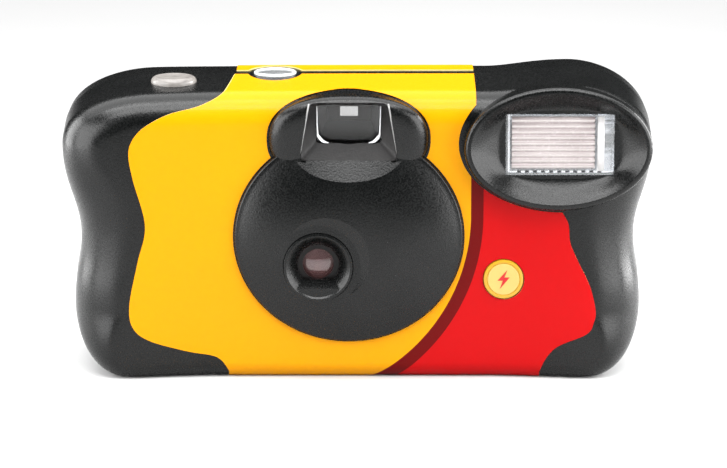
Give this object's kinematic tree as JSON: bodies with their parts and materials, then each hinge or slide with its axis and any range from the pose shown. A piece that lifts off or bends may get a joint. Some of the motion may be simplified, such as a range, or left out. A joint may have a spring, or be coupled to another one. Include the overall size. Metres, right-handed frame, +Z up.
{
  "type": "disposable film camera",
  "caption": "Single-use 35 mm film camera with flash: hourglass body with a printed wrap, oval lens panel, viewfinder, flash pod, press buttons, thumbwheel, film and drive parts inside.",
  "frame": {"origin": "middle of the footprint, on the base plane", "axes": "+X to the flash side as seen from the front, +Y to the back, +Z up; the lens looks along -Y"},
  "size_m": [0.12, 0.037, 0.0604],
  "materials": {
    "black_plastic": "fine grain",
    "printed_label": "printed film",
    "grey_button": "satin",
    "yellow_button": "satin",
    "clear_plastic": "polished",
    "tube_glass": "polished",
    "lamp_glass": "polished",
    "chassis_plastic": "moulded",
    "spool_plastic": "moulded",
    "ivory_plastic": "moulded",
    "spring_steel": "bright",
    "contact_brass": "bright",
    "dark_metal": "blackened",
    "cassette_metal": "lacquered",
    "film_base": "glossy",
    "bright_reflector": "polished",
    "green_board": "lacquered",
    "capacitor_sleeve": "shrink sleeve",
    "copper_winding": "enamelled wire",
    "battery_can": "printed sleeve"
  },
  "bodies": {
    "camera": {"front_cover": "black_plastic", "rear_cover": "black_plastic", "front_label": "printed_label", "rear_label": "printed_label", "button_spring": "spring_steel", "counter_window": "clear_plastic", "charge_switch_blades": "contact_brass", "viewfinder_front_lens": "clear_plastic", "viewfinder_frame": "chassis_plastic", "viewfinder_eyepiece": "clear_plastic", "lens_bezel": "black_plastic", "taking_lens": "clear_plastic", "lens_holder": "chassis_plastic", "aperture_plate": "dark_metal", "shutter_spring": "spring_steel", "chassis": "chassis_plastic", "cassette_shell": "cassette_metal", "cassette_end_caps": "cassette_metal", "film_strip": "film_base", "striker_spring": "spring_steel", "flash_window": "clear_plastic", "flash_reflector": "bright_reflector", "flash_tube": "tube_glass", "tube_electrodes": "spring_steel", "circuit_board": "green_board", "flash_capacitor": "capacitor_sleeve", "transformer": "copper_winding", "trigger_coil": "copper_winding", "board_components": "capacitor_sleeve", "ready_lamp": "lamp_glass", "ready_light_pipe": "clear_plastic", "sync_contacts": "contact_brass", "battery": "battery_can", "battery_plus_contact": "spring_steel", "battery_minus_contact": "spring_steel"},
    "release": {"shutter_button": "grey_button"},
    "advance": {"thumbwheel": "black_plastic", "cassette_spool": "spool_plastic"},
    "sprocket": {"metering_sprocket": "ivory_plastic"},
    "supply": {"supply_spool": "spool_plastic", "film_roll": "film_base"},
    "counter": {"counter_wheel": "ivory_plastic"},
    "metering": {"metering_lever": "ivory_plastic"},
    "striker": {"striker_lever": "ivory_plastic"},
    "blade": {"shutter_blade": "dark_metal"},
    "charge": {"flash_charge_button": "yellow_button", "charge_contact_plate": "contact_brass"},
    "door": {"film_door": "black_plastic"}
  },
  "joints": [
    {"name": "shutter_press", "type": "slide", "parent": "camera", "child": "release", "axis": [0, 0, -1], "range_m": [0, 0.0011], "stiffness_N_per_m": 300, "deforming": ["button_spring"]},
    {"name": "thumbwheel_turn", "type": "hinge", "parent": "camera", "child": "advance", "pos_m": [-0.0368, 0.0031, 0.0498], "axis": [0, 0, 1], "continuous": true},
    {"name": "sprocket_turn", "type": "hinge", "parent": "camera", "child": "sprocket", "pos_m": [-0.0155, 0.00777, 0.0377], "axis": [0, 0, 1], "continuous": true},
    {"name": "supply_turn", "type": "hinge", "parent": "camera", "child": "supply", "pos_m": [0.0227, 0.00477, 0.0236], "axis": [0, 0, 1], "continuous": true},
    {"name": "counter_turn", "type": "hinge", "parent": "camera", "child": "counter", "pos_m": [-0.0167, -0.001, 0.055], "axis": [0, 0, 1], "continuous": true},
    {"name": "metering_pivot", "type": "hinge", "parent": "camera", "child": "metering", "pos_m": [-0.0118, 0.0112, 0.0527], "axis": [0, 0, 1], "range_deg": [0, 5]},
    {"name": "striker_pivot", "type": "hinge", "parent": "camera", "child": "striker", "pos_m": [-0.0167, -0.001, 0.0509], "axis": [0, 0, 1], "range_deg": [0, 40]},
    {"name": "blade_pivot", "type": "hinge", "parent": "camera", "child": "blade", "pos_m": [-0.0155, -0.0093, 0.033], "axis": [0, 1, 0], "range_deg": [0, 24], "stiffness_Nm_per_rad": 0.0002},
    {"name": "charge_press", "type": "slide", "parent": "camera", "child": "charge", "axis": [0, 1, 0], "range_m": [0, 0.001], "stiffness_N_per_m": 400},
    {"name": "door_hinge", "type": "hinge", "parent": "camera", "child": "door", "pos_m": [-0.0368, 0.0149, 0.00105], "axis": [1, 0, 0], "range_deg": [0, 95]}
  ],
  "couplings": [
    {"joint": "sprocket_turn", "follows": "thumbwheel_turn", "ratio": 1.24},
    {"joint": "supply_turn", "follows": "thumbwheel_turn", "ratio": 0.84},
    {"joint": "counter_turn", "follows": "thumbwheel_turn", "ratio": -0.031}
  ]
}
